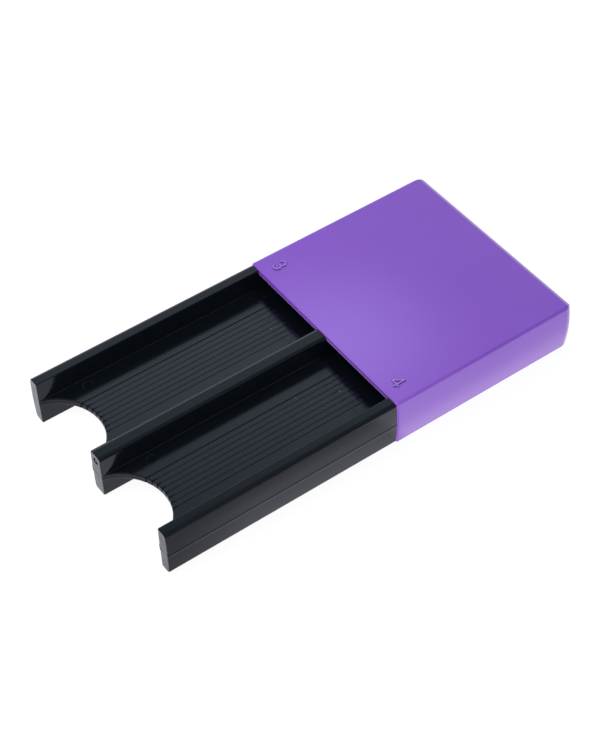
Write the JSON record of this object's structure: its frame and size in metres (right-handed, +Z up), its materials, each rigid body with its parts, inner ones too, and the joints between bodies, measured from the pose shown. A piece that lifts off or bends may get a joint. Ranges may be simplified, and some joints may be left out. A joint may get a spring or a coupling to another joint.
{
  "type": "woodwind reed guard",
  "caption": "Flat reed guard: a grooved tray that holds thin woodwind reeds on both faces, half covered by a box-shaped cover that slides off.",
  "frame": {"origin": "middle of the length and width, on the plane of the cover's flat underside", "axes": "+X from the tray's open front end to the cover's closed end, +Y to the left seen from the open end, +Z up"},
  "size_m": [0.0838, 0.0424, 0.0099],
  "materials": {
    "tray_plastic": "black moulded plastic with a soft gloss",
    "cover_plastic": "purple moulded plastic, satin"
  },
  "bodies": {
    "tray": {"tray": "tray_plastic"},
    "cover": {"cover": "cover_plastic"}
  },
  "joints": [
    {"name": "cover_slide", "type": "slide", "parent": "tray", "child": "cover", "axis": [1, 0, 0], "range_m": [0, 0.037]}
  ]
}
